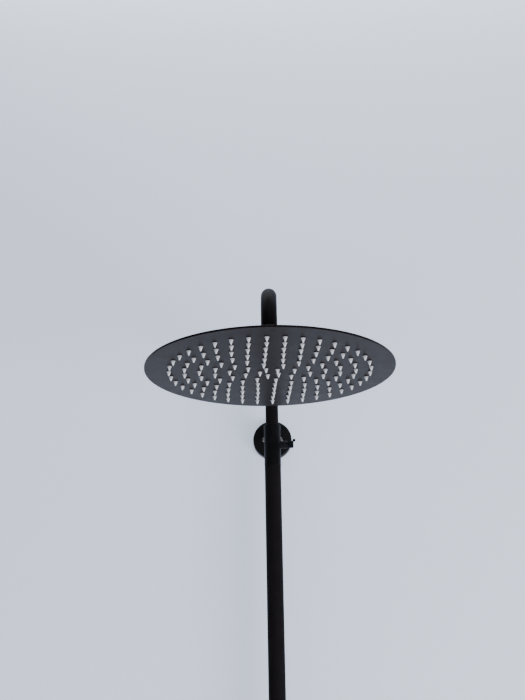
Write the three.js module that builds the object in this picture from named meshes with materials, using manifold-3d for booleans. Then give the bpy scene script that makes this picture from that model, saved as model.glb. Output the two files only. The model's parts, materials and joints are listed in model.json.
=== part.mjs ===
// Rain shower column: a telescopic riser with a gooseneck arm and a round rain head on a ball joint.
// Millimetres, +Z up. The origin is the centre of the wall flange's back face: the wall is the plane
// y = 0, the column stands on its -Y side, and the head hangs at the end of the arm, further along -Y.

import * as THREE from "three";
import { mergeVertices } from "three/addons/utils/BufferGeometryUtils.js";
import Module from "manifold-3d";

// ---------------------------------------------------------------- driving dimensions

const GAP = 0.3; // between pieces that touch on the real object
const SIDES = 24; // round turned parts
const SMALL_SIDES = 16; // screws, pads and rings
const HEAD_SIDES = 64; // rims of the head's thin plates
const HALF_TURN = Math.PI;
const QUARTER_TURN = Math.PI / 2;

const COLUMN_Y = -55; // column axis, in front of the wall
const REACH = 373; // column axis to head axis
const HEAD_Y = COLUMN_Y - REACH;

const UPPER_R = 10;
const UPPER_BORE_R = 9;
const LOWER_R = 12.5;
const LOWER_BORE_R = 11.2;
const LOWER_TOP = -54;
const LOWER_BOTTOM = -700;
const RUNNING_R = 10.3; // bore of everything that the upper tube slides and turns in

const BEND_R = 65; // centreline radius of both gooseneck bends
const BEND_START = 33; // height where the bends begin
const ARM_END = 28; // lower end of the front leg
const PISTON_BOTTOM = -500; // lower end of the upper tube's piston
const PISTON_LENGTH = 26;

const FLANGE_R = 31;
const FLANGE_DEPTH = 12;
const WALL_SCREW_X = 13;
const BRACKET_ARM_R = 8;
const STUB_R = 5.2;
const STUB_LENGTH = 13;

const SLEEVE_R = 13;
const SLEEVE_FOOT_R = 12.8;
const SLEEVE_BORE_R = 11.5;
const SLEEVE_TOP = 12;
const SLEEVE_BOTTOM = -53.7;
const SLEEVE_BOSS_REACH = 18; // rear boss, from the column axis
const SLEEVE_INSERT_R = SLEEVE_BORE_R - GAP; // pieces that stand in the sleeve's bore
const SLEEVE_LIP_Z = 8; // underside of the lip at the top of the bore

const LOCK_Z = -19.3; // height of the locking screw's axis
const LOCK_BOSS_R = 5.9;
const LOCK_BOSS_END = 23.3;
const LOCK_HOLE_R = 3.2;
const KNOB_R = 5.4;
const KNOB_END = 32.9;

const BALL_R = 9.5;
const BALL_Z = 13;

const HEAD_R = 150;
const FACE_BOTTOM = -21; // underside of the head
const FACE_T = 0.7;
const PLATE_T = 0.6;
const MAT_T = 0.5;
const EDGE_T = 2.4; // thickness of the head at its rim
const NOZZLE_LENGTH = 5.6; // below the face
const NOZZLE_BASE_R = 2.5;
const NOZZLE_TIP_R = 0.95;
const NOZZLE_HOLE_R = 2.95;
const NOZZLE_SIDES = 5;
const RING_PITCH = 18.1;
const RINGS = [
  { nozzles: 5, startDeg: -22.3 },
  { nozzles: 8, startDeg: -13.3 },
  { nozzles: 14, startDeg: -6.9 },
  { nozzles: 20, startDeg: -4.1 },
  { nozzles: 26, startDeg: -2.7 },
  { nozzles: 32, startDeg: -1.5 },
  { nozzles: 38, startDeg: -1 },
];

const NUT_FLATS = 30; // union nut, across flats
const NUT_TOP = -703;
const NUT_BOTTOM = -725;
const NUT_LIP = 4; // thickness of the lip that bears on the tail fitting's collar
const NUT_THREAD_R = 13.2;
const TAIL_NECK_R = 10.6;
const WATERWAY_R = 8.5;

// ---------------------------------------------------------------- materials

const standard = (color, roughness, metalness) =>
  new THREE.MeshStandardMaterial({ color, roughness, metalness });

const BLACK = standard(0x141416, 0.42, 0.6);
const SILICONE = standard(0xc9c7ce, 0.55, 0);
const STAINLESS = standard(0xb9bcc0, 0.3, 1);
const BRASS = standard(0xb08d57, 0.35, 1);
const ACETAL = standard(0xe6e4dc, 0.5, 0);
const RUBBER = standard(0x1c1c1e, 0.8, 0);

// ---------------------------------------------------------------- solids

const wasm = await Module();
wasm.setup();

const column = new THREE.Group();

function toSolid(geometry) {
  const bare = geometry.clone();
  bare.deleteAttribute("normal");
  bare.deleteAttribute("uv");
  const merged = mergeVertices(bare, 1e-4);
  return new wasm.Manifold(
    new wasm.Mesh({
      numProp: 3,
      vertProperties: merged.attributes.position.array,
      triVerts: new Uint32Array(merged.index.array),
    }),
  );
}

function toGeometry(solid) {
  const mesh = solid.getMesh();
  const geometry = new THREE.BufferGeometry();
  geometry.setAttribute("position", new THREE.BufferAttribute(mesh.vertProperties, 3));
  geometry.setIndex(new THREE.BufferAttribute(mesh.triVerts, 1));
  return geometry;
}

function cut(geometry, ...tools) {
  let solid = toSolid(geometry);
  for (const tool of tools) solid = solid.subtract(toSolid(tool));
  return toGeometry(solid);
}

function join(...geometries) {
  return toGeometry(wasm.Manifold.union(geometries.map(toSolid)));
}

// A profile of [radius, height] points turned about +Z. It starts and ends on the axis, or it is closed
// here into a ring. The points may run either way round.
function turned(profile, sides = SIDES) {
  const points = profile.map(([r, z]) => new THREE.Vector2(r, z));
  const onAxis = profile[0][0] === 0;
  if (!onAxis) points.push(points[0].clone());
  if (THREE.ShapeUtils.area(points) < 0) points.reverse();
  return new THREE.LatheGeometry(points, sides).rotateX(QUARTER_TURN);
}

// A ring of rectangular section, with an optional chamfer at its outer corners.
function ring(innerR, outerR, bottom, top, chamfer = 0, sides = SIDES) {
  if (!chamfer) {
    return turned([[innerR, bottom], [outerR, bottom], [outerR, top], [innerR, top]], sides);
  }
  return turned(
    [
      [innerR, bottom],
      [outerR - chamfer, bottom],
      [outerR, bottom + chamfer],
      [outerR, top - chamfer],
      [outerR - chamfer, top],
      [innerR, top],
    ],
    sides,
  );
}

// A rod along +Z from one height to another.
function rod(r, bottom, top, sides = SMALL_SIDES) {
  return turned([[0, bottom], [r, bottom], [r, top], [0, top]], sides);
}

// A seal of round section.
function seal(centreR, z, sectionR) {
  const points = [];
  const corners = 6;
  for (let i = 0; i < corners; i++) {
    const angle = (2 * HALF_TURN * i) / corners;
    points.push([centreR + sectionR * Math.cos(angle), z + sectionR * Math.sin(angle)]);
  }
  return turned(points);
}

const alongX = (geometry) => geometry.rotateY(QUARTER_TURN); // +Z becomes +X
const alongY = (geometry) => geometry.rotateX(-QUARTER_TURN); // +Z becomes +Y

function part(name, geometry, material, x = 0, y = 0, z = 0) {
  const mesh = new THREE.Mesh(geometry, material.clone());
  mesh.name = name;
  mesh.position.set(x, y, z);
  column.add(mesh);
}

const onColumn = (name, geometry, material) => part(name, geometry, material, 0, COLUMN_Y, 0);
const onHead = (name, geometry, material) => part(name, geometry, material, 0, HEAD_Y, 0);

// ---------------------------------------------------------------- wall bracket

// Screw hole through the flange, countersunk at the front. Built along +Y from the front face.
function screwHole(x) {
  const countersinkR = 4.1;
  const countersinkDepth = 3.4;
  const holeR = 2.6;
  const profile = [
    [0, -1],
    [countersinkR + 1, -1],
    [holeR, countersinkDepth],
    [holeR, FLANGE_DEPTH + 1],
    [0, FLANGE_DEPTH + 1],
  ];
  return alongY(turned(profile, SMALL_SIDES)).translate(x, -FLANGE_DEPTH, 0);
}

function wallFlange() {
  const chamfer = 2.2;
  const backEdge = 0.5;
  const profile = [
    [0, 0],
    [FLANGE_R - backEdge, 0],
    [FLANGE_R, backEdge],
    [FLANGE_R, FLANGE_DEPTH - chamfer],
    [FLANGE_R - chamfer, FLANGE_DEPTH],
    [STUB_R, FLANGE_DEPTH],
    [STUB_R, FLANGE_DEPTH + STUB_LENGTH - 1],
    [STUB_R - 1, FLANGE_DEPTH + STUB_LENGTH],
    [0, FLANGE_DEPTH + STUB_LENGTH],
  ];
  const disc = turned(profile, 36).rotateX(QUARTER_TURN); // +Z becomes -Y
  part("wall_flange", cut(disc, screwHole(-WALL_SCREW_X), screwHole(WALL_SCREW_X)), BLACK);
}

// Countersunk screw. Its shank ends at the wall plane.
function wallScrew(name, x) {
  const headR = 3.6;
  const headEdge = 0.3;
  const coneDepth = 2;
  const shankR = 2.1;
  const front = 0.5; // depth of the head below the flange's front face
  const end = FLANGE_DEPTH - GAP;
  const profile = [
    [0, front],
    [headR - headEdge, front],
    [headR, front + headEdge],
    [shankR, front + headEdge + coneDepth],
    [shankR, end],
    [0, end],
  ];
  const slot = new THREE.BoxGeometry(4.4, 1, 1.6).translate(0, 0, front);
  const cross = slot.clone().rotateZ(QUARTER_TURN);
  const screw = alongY(cut(turned(profile, SMALL_SIDES), slot, cross));
  part(name, screw, STAINLESS, x, -FLANGE_DEPTH, 0);
}

const ARM_REAR = FLANGE_DEPTH + GAP; // distances from the wall
const ARM_FRONT = -COLUMN_Y - SLEEVE_BOSS_REACH - GAP;
const GRUB_DEPTH = 18;
const GRUB_R = 2;

// Horizontal arm between flange and sleeve: a socket at the rear takes the flange's stub, and a
// threaded stud at the front screws into the sleeve's rear boss.
function bracketArm() {
  const socketEnd = FLANGE_DEPTH + STUB_LENGTH + GAP;
  const studR = 4;
  const studLength = 5.5;
  const edge = 0.6;
  const profile = [
    [0, socketEnd],
    [STUB_R + GAP, socketEnd],
    [STUB_R + GAP, ARM_REAR],
    [BRACKET_ARM_R - edge, ARM_REAR],
    [BRACKET_ARM_R, ARM_REAR + edge],
    [BRACKET_ARM_R, ARM_FRONT],
    [studR, ARM_FRONT],
    [studR, ARM_FRONT + studLength],
    [0, ARM_FRONT + studLength],
  ];
  const arm = turned(profile).rotateX(QUARTER_TURN); // +Z becomes -Y
  const grubHole = rod(GRUB_R + GAP, -BRACKET_ARM_R - 1, 0).translate(0, -GRUB_DEPTH, 0);
  part("bracket_arm", cut(arm, grubHole), BLACK);
}

function grubScrew() {
  const outerEnd = -BRACKET_ARM_R + 0.4;
  const socketDepth = 1;
  const screw = rod(GRUB_R, outerEnd, -STUB_R - GAP);
  const socket = rod(1, outerEnd - 1, outerEnd + socketDepth, 6);
  part("flange_grub_screw", cut(screw, socket), STAINLESS, 0, -GRUB_DEPTH, 0);
}

// Vertical sleeve over the telescopic joint, with a boss at the rear for the arm and one at the right
// for the locking screw.
function bracketSleeve() {
  const sides = 32;
  const footBoreR = 12.2;
  const footBoreTop = SLEEVE_BOTTOM + 1.7;
  const lipBoreR = 10.6;
  const shoulder = 1.2;
  const edge = 0.4;
  const outside = [
    [0, SLEEVE_BOTTOM],
    [SLEEVE_FOOT_R - edge, SLEEVE_BOTTOM],
    [SLEEVE_FOOT_R, SLEEVE_BOTTOM + edge],
    [SLEEVE_R, SLEEVE_TOP - shoulder],
    [SLEEVE_R - shoulder, SLEEVE_TOP],
    [0, SLEEVE_TOP],
  ];
  const inside = [
    [0, SLEEVE_BOTTOM - 1],
    [footBoreR, SLEEVE_BOTTOM - 1],
    [footBoreR, footBoreTop],
    [SLEEVE_BORE_R, footBoreTop],
    [SLEEVE_BORE_R, SLEEVE_LIP_Z],
    [lipBoreR, SLEEVE_LIP_Z],
    [lipBoreR, SLEEVE_TOP + 1],
    [0, SLEEVE_TOP + 1],
  ];
  const rearBossR = 8.5;
  const studHoleR = 4.3;
  const root = 5; // bosses and their holes start inside the sleeve's bore
  const rearBoss = alongY(rod(rearBossR, root, SLEEVE_BOSS_REACH, SIDES));
  const rearHole = alongY(rod(studHoleR, root, SLEEVE_BOSS_REACH + 1));
  const bossEdge = 0.8;
  const lockProfile = [
    [0, root],
    [LOCK_BOSS_R, root],
    [LOCK_BOSS_R, LOCK_BOSS_END - bossEdge],
    [LOCK_BOSS_R - bossEdge, LOCK_BOSS_END],
    [0, LOCK_BOSS_END],
  ];
  const lockBoss = alongX(turned(lockProfile, 20)).translate(0, 0, LOCK_Z);
  const lockHole = alongX(rod(LOCK_HOLE_R, root, LOCK_BOSS_END + 1)).translate(0, 0, LOCK_Z);
  const body = join(turned(outside, sides), rearBoss, lockBoss);
  onColumn("bracket_sleeve", cut(body, turned(inside, sides), rearHole, lockHole), BLACK);
}

// ---------------------------------------------------------------- what is inside the sleeve

const FERRULE_BOTTOM = LOWER_TOP - 20;
const FERRULE_TOP = -44;
const SEAL_HEIGHT = 1.9;
const COLLET_BOTTOM = -38;
const COLLET_TOP = -4;

// Bush at the top of the lower tube. It centres the upper tube and stops its piston.
function stopFerrule() {
  const spigotR = LOWER_BORE_R - 0.15;
  const flangeR = 11.9;
  const flangeTop = SLEEVE_BOTTOM + 1.2;
  const profile = [
    [RUNNING_R, FERRULE_BOTTOM],
    [spigotR, FERRULE_BOTTOM],
    [spigotR, SLEEVE_BOTTOM],
    [flangeR, SLEEVE_BOTTOM],
    [flangeR, flangeTop],
    [SLEEVE_INSERT_R, flangeTop],
    [SLEEVE_INSERT_R, FERRULE_TOP],
    [RUNNING_R, FERRULE_TOP],
  ];
  onColumn("stop_ferrule", turned(profile), BLACK);
}

function ferruleSeal() {
  const bottom = FERRULE_TOP + GAP;
  const sealRing = ring(RUNNING_R, SLEEVE_INSERT_R, bottom, bottom + SEAL_HEIGHT, GAP);
  onColumn("ferrule_seal", sealRing, RUBBER);
}

// Split collet that the locking screw squeezes onto the upper tube. The slot is opposite the screw.
function clampCollet() {
  const bottom = COLLET_BOTTOM;
  const top = COLLET_TOP;
  const collet = ring(RUNNING_R, SLEEVE_INSERT_R, bottom, top);
  const slotWidth = 2.4;
  const slot = new THREE.BoxGeometry(6, slotWidth, top - bottom + 2);
  slot.translate(-RUNNING_R - 1, 0, (top + bottom) / 2);
  onColumn("clamp_collet", cut(collet, slot), ACETAL);
}

function guideBush() {
  onColumn("guide_bush", ring(RUNNING_R, SLEEVE_INSERT_R, COLLET_TOP + GAP, SLEEVE_LIP_Z - GAP), ACETAL);
}

// ---------------------------------------------------------------- locking screw

const PAD_END = 13.1;

function pressurePad() {
  const pad = alongX(rod(LOCK_HOLE_R - GAP, SLEEVE_BORE_R, PAD_END));
  part("pressure_pad", pad, ACETAL, 0, COLUMN_Y, LOCK_Z);
}

// The lever, from inside the knob to the middle of its ball. Heights are from the screw's axis.
const LEVER_ROOT = new THREE.Vector3(28.4, 0, 1.8);
const LEVER_TIP = new THREE.Vector3(33.9, 0, 6.9);
const LEVER_R = 1.15;
const LEVER_SIDES = 12;

// A rod or ball of the lever, standing along +Z and then laid from its root towards its tip.
function onLever(geometry) {
  const lean = Math.atan2(LEVER_TIP.x - LEVER_ROOT.x, LEVER_TIP.z - LEVER_ROOT.z);
  return geometry.rotateY(lean).translate(LEVER_ROOT.x, 0, LEVER_ROOT.z);
}

function thumbScrew() {
  const threadR = LOCK_HOLE_R - GAP;
  const threadStart = PAD_END + GAP;
  const knobStart = LOCK_BOSS_END + GAP;
  const bevel = 0.7;
  const profile = [
    [0, threadStart],
    [threadR, threadStart],
    [threadR, knobStart],
    [KNOB_R - bevel, knobStart],
    [KNOB_R, knobStart + bevel],
    [KNOB_R, KNOB_END - bevel],
    [KNOB_R - bevel, KNOB_END],
    [0, KNOB_END],
  ];
  const screw = alongX(turned(profile, 20));
  const holeLength = 12; // from the lever's root to well outside the knob
  const leverHole = onLever(rod(LEVER_R + GAP, -GAP, holeLength, LEVER_SIDES));
  part("thumb_screw", cut(screw, leverHole), BLACK, 0, COLUMN_Y, LOCK_Z);
}

function lockLever() {
  const length = LEVER_ROOT.distanceTo(LEVER_TIP);
  const ballR = 2.4;
  const stalk = rod(LEVER_R, 0, length, LEVER_SIDES);
  const ball = new THREE.SphereGeometry(ballR, LEVER_SIDES, 8).rotateX(QUARTER_TURN);
  const lever = onLever(join(stalk, ball.translate(0, 0, length)));
  part("lock_lever", lever, BLACK, 0, COLUMN_Y, LOCK_Z);
}

// ---------------------------------------------------------------- lower tube and its inlet

function lowerTube() {
  onColumn("lower_tube", ring(LOWER_BORE_R, LOWER_R, LOWER_BOTTOM, LOWER_TOP), BLACK);
}

const COLLAR_R = NUT_THREAD_R - 0.2;
const COLLAR_TOP = NUT_TOP - NUT_LIP - GAP;
const COLLAR_BOTTOM = COLLAR_TOP - 3;

// End of the lower tube: a spigot in the tube, a ring under its end, and a neck with a collar for the
// captive union nut, which pulls the collar down onto the washer.
function tailFitting() {
  const spigotR = LOWER_BORE_R - GAP;
  const spigotTop = LOWER_BOTTOM + 15;
  const ringTop = LOWER_BOTTOM - GAP;
  const ringBottom = ringTop - 2;
  const profile = [
    [WATERWAY_R, COLLAR_BOTTOM],
    [COLLAR_R, COLLAR_BOTTOM],
    [COLLAR_R, COLLAR_TOP],
    [TAIL_NECK_R, COLLAR_TOP],
    [TAIL_NECK_R, ringBottom],
    [LOWER_R, ringBottom],
    [LOWER_R, ringTop],
    [spigotR, ringTop],
    [spigotR, spigotTop],
    [WATERWAY_R, spigotTop],
  ];
  onColumn("tail_fitting", turned(profile), BRASS);
}

function inletWasher() {
  const top = COLLAR_BOTTOM - GAP;
  const thickness = 2;
  onColumn("inlet_washer", ring(WATERWAY_R, COLLAR_R - 0.2, top - thickness, top), RUBBER);
}

// Captive hexagon nut: its lip bears on the collar, and its thread takes the valve's outlet.
function unionNut() {
  const hexR = NUT_FLATS / 2 / Math.cos(HALF_TURN / 6);
  const hexagon = rod(hexR, NUT_BOTTOM, NUT_TOP, 6);
  const bevel = 1.8;
  const bevelled = turned([
    [0, NUT_BOTTOM],
    [hexR - bevel, NUT_BOTTOM],
    [hexR + GAP, NUT_BOTTOM + bevel],
    [hexR + GAP, NUT_TOP - bevel],
    [hexR - bevel, NUT_TOP],
    [0, NUT_TOP],
  ]);
  const neckHoleR = TAIL_NECK_R + 0.35;
  const lipBottom = NUT_TOP - NUT_LIP;
  const inside = turned([
    [0, NUT_BOTTOM - 1],
    [NUT_THREAD_R, NUT_BOTTOM - 1],
    [NUT_THREAD_R, lipBottom],
    [neckHoleR, lipBottom],
    [neckHoleR, NUT_TOP + 1],
    [0, NUT_TOP + 1],
  ]);
  const outside = toGeometry(toSolid(hexagon).intersect(toSolid(bevelled)));
  onColumn("union_nut", cut(outside, inside), BLACK);
}

// ---------------------------------------------------------------- upper tube and its piston

// Centreline of the gooseneck: up the column, over and along the arm, and down the front leg.
// Its stations are its joints and the steps of its two bends, so a straight run is a single step.
class GooseneckPath extends THREE.Curve {
  constructor(bendSteps) {
    super();
    this.stations = [];
    const up = new THREE.Vector3(0, 0, 1);
    const down = new THREE.Vector3(0, 0, -1);
    this.stations.push([new THREE.Vector3(0, COLUMN_Y, PISTON_BOTTOM + PISTON_LENGTH), up]);
    this.addBend(COLUMN_Y - BEND_R, 0, bendSteps);
    this.addBend(HEAD_Y + BEND_R, 1, bendSteps);
    this.stations.push([new THREE.Vector3(0, HEAD_Y, ARM_END), down]);
  }

  // A quarter turn about a centre at the height where the bends begin; quarter 0 climbs, 1 descends.
  addBend(centreY, quarter, steps) {
    for (let i = 0; i <= steps; i++) {
      const angle = QUARTER_TURN * (quarter + i / steps);
      const point = new THREE.Vector3(
        0,
        centreY + BEND_R * Math.cos(angle),
        BEND_START + BEND_R * Math.sin(angle),
      );
      this.stations.push([point, new THREE.Vector3(0, -Math.sin(angle), Math.cos(angle))]);
    }
  }

  at(u, item) {
    const index = Math.round(u * (this.stations.length - 1));
    return this.stations[index][item].clone();
  }

  getPointAt(u) {
    return this.at(u, 0);
  }

  getTangentAt(u) {
    return this.at(u, 1);
  }
}

function gooseneckTube() {
  const path = new GooseneckPath(10);
  const quarterSegments = 10;
  const section = new THREE.Shape();
  section.absarc(0, 0, UPPER_R, 0, 2 * HALF_TURN, false);
  const bore = new THREE.Path();
  bore.absarc(0, 0, UPPER_BORE_R, 0, 2 * HALF_TURN, true);
  section.holes.push(bore);
  const tube = new THREE.ExtrudeGeometry(section, {
    steps: path.stations.length - 1,
    curveSegments: quarterSegments,
    extrudePath: path,
  });
  part("gooseneck_tube", tube, BLACK);
}

const SEAL_GROOVES = [PISTON_BOTTOM + 5, PISTON_BOTTOM + 17]; // lower edges of the piston's grooves
const GROOVE_WIDTH = 3;
const GROOVE_R = 8.9;

// Piston on the lower end of the upper tube, with two grooves for its seals and a spigot in the tube.
function guidePiston() {
  const outsideR = LOWER_BORE_R - 0.4;
  const top = PISTON_BOTTOM + PISTON_LENGTH - GAP;
  const spigotR = UPPER_BORE_R - GAP;
  const spigotTop = top + 14;
  const boreR = 7;
  const profile = [[boreR, PISTON_BOTTOM], [outsideR, PISTON_BOTTOM]];
  for (const groove of SEAL_GROOVES) {
    profile.push([outsideR, groove], [GROOVE_R, groove]);
    profile.push([GROOVE_R, groove + GROOVE_WIDTH], [outsideR, groove + GROOVE_WIDTH]);
  }
  profile.push([outsideR, top], [spigotR, top], [spigotR, spigotTop], [boreR, spigotTop]);
  onColumn("guide_piston", turned(profile), ACETAL);
}

function pistonSeals() {
  const sectionR = 0.85;
  const centreR = GROOVE_R + GAP + sectionR;
  const names = ["piston_seal_lower", "piston_seal_upper"];
  SEAL_GROOVES.forEach((groove, i) => {
    onColumn(names[i], seal(centreR, groove + GROOVE_WIDTH / 2, sectionR), RUBBER);
  });
}

// ---------------------------------------------------------------- ball joint

const NIPPLE_BOTTOM = BALL_Z + 9.8;
const NIPPLE_R = 10.4;

// Threaded nipple brazed into the front leg. The ball nut screws onto it.
function armNipple() {
  const mouthR = 5.5;
  const boreR = 7;
  const shoulder = ARM_END - GAP;
  const spigotR = UPPER_BORE_R - GAP;
  const profile = [
    [mouthR, NIPPLE_BOTTOM],
    [NIPPLE_R, NIPPLE_BOTTOM],
    [NIPPLE_R, shoulder],
    [spigotR, shoulder],
    [spigotR, BEND_START],
    [boreR, BEND_START],
    [boreR, ARM_END],
    [mouthR, ARM_END - 2],
  ];
  onHead("arm_nipple", turned(profile), BRASS);
}

// Seal of round section, between the nipple's end and the top of the ball.
function ballSeal() {
  const centreR = 7.3;
  const sectionR = 1.15;
  onHead("ball_seal", seal(centreR, NIPPLE_BOTTOM - sectionR - 0.35, sectionR), RUBBER);
}

const NUT_LIP_BOTTOM = BALL_Z - 7.6;
const NUT_SEAT = BALL_Z - 6.1;

function ballNut() {
  const outsideR = 13.6;
  const bevel = 1.2;
  const lipR = 9;
  const boreR = NIPPLE_R + GAP;
  const top = ARM_END - 0.5;
  const profile = [
    [lipR, NUT_LIP_BOTTOM],
    [outsideR - bevel, NUT_LIP_BOTTOM],
    [outsideR, NUT_LIP_BOTTOM + bevel],
    [outsideR, top - bevel],
    [outsideR - bevel, top],
    [boreR, top],
    [boreR, NUT_SEAT],
    [lipR, NUT_SEAT],
  ];
  onHead("ball_nut", turned(profile), BLACK);
}

// Low-friction ring between the nut's lip and the ball, hollowed to the ball's own curve.
function seatRing() {
  const hollowR = BALL_R + GAP;
  const bottom = NUT_SEAT + GAP;
  const top = BALL_Z - 0.5;
  const outsideR = NIPPLE_R;
  const lowest = Math.asin((bottom - BALL_Z) / hollowR);
  const highest = Math.asin((top - BALL_Z) / hollowR);
  const profile = [];
  const steps = 4;
  for (let i = 0; i <= steps; i++) {
    const angle = highest + ((lowest - highest) * i) / steps;
    profile.push([hollowR * Math.cos(angle), BALL_Z + hollowR * Math.sin(angle)]);
  }
  profile.push([outsideR, bottom], [outsideR, top]);
  onHead("seat_ring", turned(profile), ACETAL);
}

const HUB_TOP = -2;
const STEM_R = 9.9;
const STEM_BOTTOM = -7.9;

// Ball with its neck, wrench collar and threaded stem in one piece, bored through for the water.
function ballStud() {
  const boreR = 4.5;
  const neckR = 6;
  const collarR = 12;
  const collarBottom = HUB_TOP + GAP;
  const collarTop = 1.2;
  const edge = 0.6;
  const profile = [
    [boreR, STEM_BOTTOM],
    [STEM_R, STEM_BOTTOM],
    [STEM_R, collarBottom],
    [collarR, collarBottom],
    [collarR, collarTop - edge],
    [collarR - edge, collarTop],
    [neckR, collarTop],
  ];
  const from = -Math.acos(neckR / BALL_R);
  const to = Math.acos(boreR / BALL_R);
  const steps = 8;
  for (let i = 0; i <= steps; i++) {
    const angle = from + ((to - from) * i) / steps;
    profile.push([BALL_R * Math.cos(angle), BALL_Z + BALL_R * Math.sin(angle)]);
  }
  onHead("ball_stud", turned(profile), STAINLESS);
}

// ---------------------------------------------------------------- rain head

const CHAMBER_R = 42; // foot of the raised centre of the back plate
const CHAMBER_TOP_R = 26;
const CHAMBER_TOP = -13;
const HUB_HOLE_R = 12;
const HUB_FLANGE_R = 22;
const HUB_FLANGE_BOTTOM = CHAMBER_TOP + 1.2;
const HUB_BORE_R = STEM_R + GAP;
const HUB_SHELF = CHAMBER_TOP + 0.4;
const EDGE_TOP = FACE_BOTTOM + EDGE_T;
const RIM_WALL = 0.8;

// Boss that the stem screws into, with a wide flange on the back plate and a spigot through it. The
// restrictor, the filter and the washer lie on the shelf at the bottom of its bore.
function inletHub() {
  const spigotR = HUB_HOLE_R - GAP;
  const spigotBottom = CHAMBER_TOP - 2;
  const outletR = 7;
  const bodyR = 14.5;
  const edge = 0.6;
  const profile = [
    [outletR, spigotBottom],
    [spigotR, spigotBottom],
    [spigotR, HUB_FLANGE_BOTTOM],
    [HUB_FLANGE_R, HUB_FLANGE_BOTTOM],
    [HUB_FLANGE_R, HUB_FLANGE_BOTTOM + 1.2],
    [bodyR + 1.5, HUB_FLANGE_BOTTOM + 2.6],
    [bodyR, HUB_FLANGE_BOTTOM + 3.4],
    [bodyR, HUB_TOP - edge],
    [bodyR - edge, HUB_TOP],
    [HUB_BORE_R, HUB_TOP],
    [HUB_BORE_R, HUB_SHELF],
    [outletR, HUB_SHELF],
  ];
  onHead("inlet_hub", turned(profile), BLACK);
}

function hubGasket() {
  const innerR = HUB_HOLE_R + 0.6;
  const outerR = HUB_FLANGE_R - 1;
  onHead("hub_gasket", ring(innerR, outerR, CHAMBER_TOP + GAP, HUB_FLANGE_BOTTOM - GAP), RUBBER);
}

const INSERT_R = HUB_BORE_R - 0.4; // pieces that lie in the hub's bore
const RESTRICTOR_TOP = HUB_SHELF + 1.7;
const SCREEN_BOTTOM = RESTRICTOR_TOP + GAP;
const SCREEN_T = 0.7;

// Disc with one metering hole.
function flowRestrictor() {
  const holeR = 2;
  const disc = ring(holeR, INSERT_R, HUB_SHELF + GAP, RESTRICTOR_TOP, GAP);
  onHead("flow_restrictor", disc, ACETAL);
}

// Filter disc with two rings of holes.
function filterScreen() {
  const holeR = 1.1;
  const screen = new THREE.Shape();
  screen.absarc(0, 0, INSERT_R, 0, 2 * HALF_TURN, false);
  for (const { count, r } of [{ count: 4, r: 2.8 }, { count: 9, r: 6.5 }]) {
    for (let i = 0; i < count; i++) {
      const angle = (2 * HALF_TURN * i) / count;
      const hole = new THREE.Path();
      hole.absarc(r * Math.cos(angle), r * Math.sin(angle), holeR, 0, 2 * HALF_TURN, true);
      screen.holes.push(hole);
    }
  }
  const options = { depth: SCREEN_T, bevelEnabled: false, curveSegments: 3 };
  const disc = new THREE.ExtrudeGeometry(screen, options).translate(0, 0, SCREEN_BOTTOM);
  onHead("filter_screen", disc, STAINLESS);
}

function stemWasher() {
  const waterwayR = 4.6;
  const bottom = SCREEN_BOTTOM + SCREEN_T + GAP;
  onHead("stem_washer", ring(waterwayR, INSERT_R, bottom, STEM_BOTTOM - GAP), RUBBER);
}

// Thin pressed plate, flat to the rim and raised in the middle into the chamber under the hub.
function backPlate() {
  const rimR = HEAD_R - RIM_WALL - GAP;
  const profile = [
    [HUB_HOLE_R, CHAMBER_TOP - PLATE_T],
    [CHAMBER_TOP_R, CHAMBER_TOP - PLATE_T],
    [CHAMBER_R, EDGE_TOP - PLATE_T],
    [rimR, EDGE_TOP - PLATE_T],
    [rimR, EDGE_TOP],
    [CHAMBER_R, EDGE_TOP],
    [CHAMBER_TOP_R, CHAMBER_TOP],
    [HUB_HOLE_R, CHAMBER_TOP],
  ];
  onHead("back_plate", turned(profile, HEAD_SIDES), BLACK);
}

// A copy of a piece at each nozzle, ring by ring. Angles run from the front of the head.
function atNozzles(piece) {
  const copies = [];
  RINGS.forEach(({ nozzles, startDeg }, index) => {
    const r = RING_PITCH * (index + 2 / 3);
    for (let i = 0; i < nozzles; i++) {
      const angle = THREE.MathUtils.degToRad(startDeg) + (2 * HALF_TURN * i) / nozzles;
      copies.push(piece.clone().translate(r * Math.sin(angle), -r * Math.cos(angle), 0));
    }
  });
  return copies;
}

// Silicone sheet between the plates, with every nozzle moulded on.
function nozzleMat() {
  const bottom = FACE_BOTTOM + FACE_T + GAP;
  const sheet = rod(HEAD_R - 4, bottom, bottom + MAT_T, HEAD_SIDES);
  const root = bottom + MAT_T / 2;
  const tip = FACE_BOTTOM - NOZZLE_LENGTH;
  const cone = [[0, tip], [NOZZLE_TIP_R, tip], [NOZZLE_BASE_R, root], [0, root]];
  const nozzles = atNozzles(turned(cone, NOZZLE_SIDES));
  onHead("nozzle_mat", join(sheet, ...nozzles), SILICONE);
}

// Perforated face, turned up at the rim around the back plate.
function facePlate() {
  const edge = 0.5;
  const inside = FACE_BOTTOM + FACE_T;
  const profile = [
    [0, FACE_BOTTOM],
    [HEAD_R - edge, FACE_BOTTOM],
    [HEAD_R, FACE_BOTTOM + edge],
    [HEAD_R, EDGE_TOP],
    [HEAD_R - RIM_WALL, EDGE_TOP],
    [HEAD_R - RIM_WALL, inside],
    [0, inside],
  ];
  const drill = rod(NOZZLE_HOLE_R, FACE_BOTTOM - 1, inside + 1, NOZZLE_SIDES);
  const holes = join(...atNozzles(drill));
  onHead("face_plate", cut(turned(profile, HEAD_SIDES), holes), BLACK);
}

// ---------------------------------------------------------------- assembly

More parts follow.
